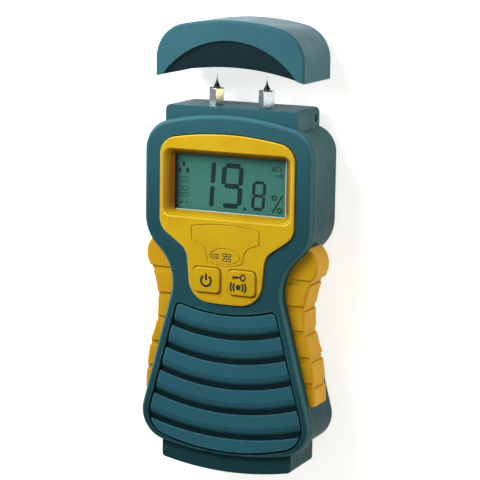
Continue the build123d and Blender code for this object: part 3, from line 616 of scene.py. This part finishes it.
def mark_drop(form, middle, width, height, floor):
    """Water drop with its point up."""
    made = bmesh.ops.create_cone(form, cap_ends=True, segments=28, radius1=0.5, radius2=0.5, depth=INK)["verts"]
    for corner in made:
        rise = max(0.0, corner.co.y) * 2
        corner.co.x *= 1 - 0.75 * rise ** 1.5
    place = Matrix.Translation((*middle, floor + INK / 2)) @ Matrix.Diagonal((width, height, 1, 1))
    bmesh.ops.transform(form, verts=made, matrix=place)


def mark_wall(form, ends, courses, joints, width, floor):
    """Wall of blocks: level lines at the heights of its courses, and upright joints by the places of their feet."""
    for y in courses:
        mark_bar(form, (ends[0], y), (ends[1], y), width, floor)
    for x, y in joints:
        mark_bar(form, (x, y), (x, y + courses[1] - courses[0]), width, floor)


def finish_marks(form, name, body, finish):
    """Turn a set of strokes into one printed piece that moves with a body."""
    bmesh.ops.remove_doubles(form, verts=form.verts, dist=0.0005)
    bmesh.ops.recalc_face_normals(form, faces=form.faces)
    bmesh.ops.scale(form, verts=form.verts, vec=(MM, MM, MM))
    mesh = bpy.data.meshes.new(name)
    form.to_mesh(mesh)
    form.free()
    piece = bpy.data.objects.new(name, mesh)
    bpy.context.scene.collection.objects.link(piece)
    mesh.materials.append(finish)
    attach(piece, body)


def figure(form, left, right, bottom, middle, top, width, lit):
    """Seven-segment figure between its outer edges; lit names the segments that show."""
    x0, x1 = left + width / 2, right - width / 2
    y0, y1 = bottom + width / 2, top - width / 2
    ends = {
        "top": ((x0, y1), (x1, y1)),
        "middle": ((x0, middle), (x1, middle)),
        "bottom": ((x0, y0), (x1, y0)),
        "upper_left": ((x0, middle), (x0, y1)),
        "upper_right": ((x1, middle), (x1, y1)),
        "lower_left": ((x0, y0), (x0, middle)),
        "lower_right": ((x1, y0), (x1, middle)),
    }
    for segment in lit:
        start, end = Vector(ends[segment][0]), Vector(ends[segment][1])
        gap = (end - start).normalized() * 0.18 * width
        mark_segment(form, start + gap, end - gap, width, figure_floor)


# Reading: 19.8 per cent, its figures leaning to the right and its last one small
EVERY_SEGMENT = ("top", "middle", "bottom", "upper_left", "upper_right", "lower_left", "lower_right")
FIGURE_FOOT, FIGURE_MIDDLE, FIGURE_HEAD = 29.9, 38.5, 47.3
SLANT = math.tan(math.radians(3.5))

reading = bmesh.new()
mark_segment(reading, (-8.2, 39.0), (-8.2, FIGURE_HEAD), 1.8, figure_floor)
mark_segment(reading, (-8.2, FIGURE_FOOT), (-8.2, 38.1), 1.8, figure_floor)
nine = [segment for segment in EVERY_SEGMENT if segment != "lower_left"]
figure(reading, -4.6, 4.4, FIGURE_FOOT, FIGURE_MIDDLE, FIGURE_HEAD, 1.9, nine)
figure(reading, 8.5, 14.1, FIGURE_FOOT, 35.6, 41.3, 1.2, EVERY_SEGMENT)
mark_dot(reading, (6.0, 30.2), 0.65, figure_floor)
lean = Matrix.Identity(4)
lean[0][1] = SLANT
lean[0][3] = -SLANT * FIGURE_MIDDLE
bmesh.ops.transform(reading, verts=reading.verts, matrix=lean)
mark_ring(reading, (17.65, 35.3), 0.85, 0.55, figure_floor)
mark_ring(reading, (19.9, 30.6), 0.85, 0.55, figure_floor)
mark_bar(reading, (16.9, 29.6), (21.0, 36.5), 0.6, figure_floor)
finish_marks(reading, "display_figures", "meter", figure_ink)

# Three drops, a battery and a key
signs = bmesh.new()
for drop in ((-20.5, 45.9), (-22.2, 43.3), (-18.9, 43.4)):
    mark_drop(signs, drop, 1.35, 2.5, figure_floor)
for y in (47.15, 45.65):
    mark_bar(signs, (16.5, y), (20.1, y), 0.22, figure_floor)
for x in (16.6, 20.0):
    mark_bar(signs, (x, 45.65), (x, 47.15), 0.22, figure_floor)
mark_bar(signs, (20.25, 46.1), (20.25, 46.7), 0.3, figure_floor)
for x in (17.3, 18.3):
    mark_bar(signs, (x, 45.95), (x, 46.85), 0.55, figure_floor)
mark_ring(signs, (20.5, 43.9), 0.5, 0.3, figure_floor)
mark_bar(signs, (18.0, 43.9), (20.0, 43.9), 0.28, figure_floor)
mark_bar(signs, (18.3, 43.3), (18.3, 43.9), 0.28, figure_floor)
mark_dot(signs, (-21.4, 30.8), 0.45, figure_floor)
finish_marks(signs, "display_signs", "meter", figure_ink)

# Sawn log over a block wall, and a spot
faint_signs = bmesh.new()
mark_ring(faint_signs, (-18.9, 39.8), 0.95, 0.25, figure_floor, 0.6)
mark_bar(faint_signs, (-21.4, 40.75), (-18.9, 40.75), 0.25, figure_floor)
mark_bar(faint_signs, (-21.4, 38.85), (-18.9, 38.85), 0.25, figure_floor)
mark_arc(faint_signs, (-21.4, 39.8), 0.95, 0.25, 90, 180, figure_floor, 0.6)
mark_bar(faint_signs, (-21.0, 39.8), (-19.9, 39.8), 0.2, figure_floor)
mark_wall(
    faint_signs, (-23.0, -18.6), (33.1, 34.35, 35.6, 36.85),
    (
        (-22.9, 33.1), (-20.8, 33.1), (-18.7, 33.1), (-21.9, 34.35), (-19.8, 34.35),
        (-22.9, 35.6), (-20.8, 35.6), (-18.7, 35.6),
    ),
    0.28, figure_floor,
)
mark_dot(faint_signs, (-19.2, 30.9), 0.4, figure_floor)
finish_marks(faint_signs, "display_faint_signs", "meter", faint_ink)

# Power sign on the left button
power_sign = bmesh.new()
mark_arc(power_sign, (-7.35, 2.2), 2.1, 0.85, 124, 292, button_floor)
mark_bar(power_sign, (-7.35, 2.4), (-7.35, 5.0), 0.85, button_floor)
finish_marks(power_sign, "power_sign", "power_button", print_black)

# Key and sound signs on the right button
hold_sign = bmesh.new()
mark_ring(hold_sign, (8.1, 4.7), 1.15, 0.65, button_floor, 0.78)
mark_bar(hold_sign, (3.8, 4.7), (7.2, 4.7), 0.7, button_floor)
mark_bar(hold_sign, (4.2, 3.8), (4.2, 4.7), 0.6, button_floor)
mark_bar(hold_sign, (5.3, 3.9), (5.3, 4.7), 0.55, button_floor)
mark_dot(hold_sign, (6.2, 0.8), 1.05, button_floor)
for radius, half_turn in ((2.05, 44), (3.2, 34)):
    mark_arc(hold_sign, (6.2, 0.8), radius, 0.75, -half_turn, 2 * half_turn, button_floor)
    mark_arc(hold_sign, (6.2, 0.8), radius, 0.75, 180 - half_turn, 2 * half_turn, button_floor)
finish_marks(hold_sign, "hold_sign", "hold_button", print_black)

# Timber and masonry signs in the oval
material_signs = bmesh.new()
mark_ring(material_signs, (-2.9, 11.9), 0.75, 0.28, bezel_floor, 0.65)
mark_bar(material_signs, (-5.0, 12.65), (-2.9, 12.65), 0.26, bezel_floor)
mark_bar(material_signs, (-5.0, 11.15), (-2.9, 11.15), 0.26, bezel_floor)
mark_arc(material_signs, (-5.0, 11.9), 0.75, 0.26, 90, 180, bezel_floor, 0.65)
mark_bar(material_signs, (-4.7, 11.9), (-3.7, 11.9), 0.2, bezel_floor)
mark_wall(
    material_signs, (-1.0, 2.6), (10.3, 11.25, 12.2, 13.15),
    (
        (-0.9, 10.3), (0.8, 10.3), (2.5, 10.3), (-0.1, 11.25), (1.7, 11.25),
        (-0.9, 12.2), (0.8, 12.2), (2.5, 12.2),
    ),
    0.26, bezel_floor,
)
finish_marks(material_signs, "material_signs", "meter", print_black)

# Painted highlight: light strips along the lower and right edges of the clear window
window_edge_highlights = bmesh.new()
mark_bar(window_edge_highlights, (-22.6, 28.35), (23.1, 28.35), 0.35, window_floor)
mark_bar(window_edge_highlights, (23.05, 28.5), (23.05, 49.8), 0.3, window_floor)
finish_marks(window_edge_highlights, "window_edge_highlights", "meter", painted_edge_highlight)


# ---------------------------------------------------------------- floor

# The floor lies a little under the back, so that the two don't share a plane
FLOOR_GAP = 0.5


def make_floor():
    """Pale studio floor under the meter's back."""
    form = bmesh.new()
    bmesh.ops.create_grid(form, x_segments=1, y_segments=1, size=3.0)
    bmesh.ops.translate(form, verts=form.verts, vec=(0, 0, -FLOOR_GAP * MM))
    mesh = bpy.data.meshes.new("floor")
    form.to_mesh(mesh)
    form.free()
    floor = bpy.data.objects.new("floor", mesh)
    bpy.context.scene.collection.objects.link(floor)
    glow = {"Emission Color": (1.0, 1.0, 1.0, 1.0), "Emission Strength": 0.66}
    paper = new_finish("white_paper", (0.9, 0.9, 0.9), 0.9, glow)
    relief(paper, mottle(paper, 0.6, 2.0), 0.01)
    mesh.materials.append(paper)


make_floor()
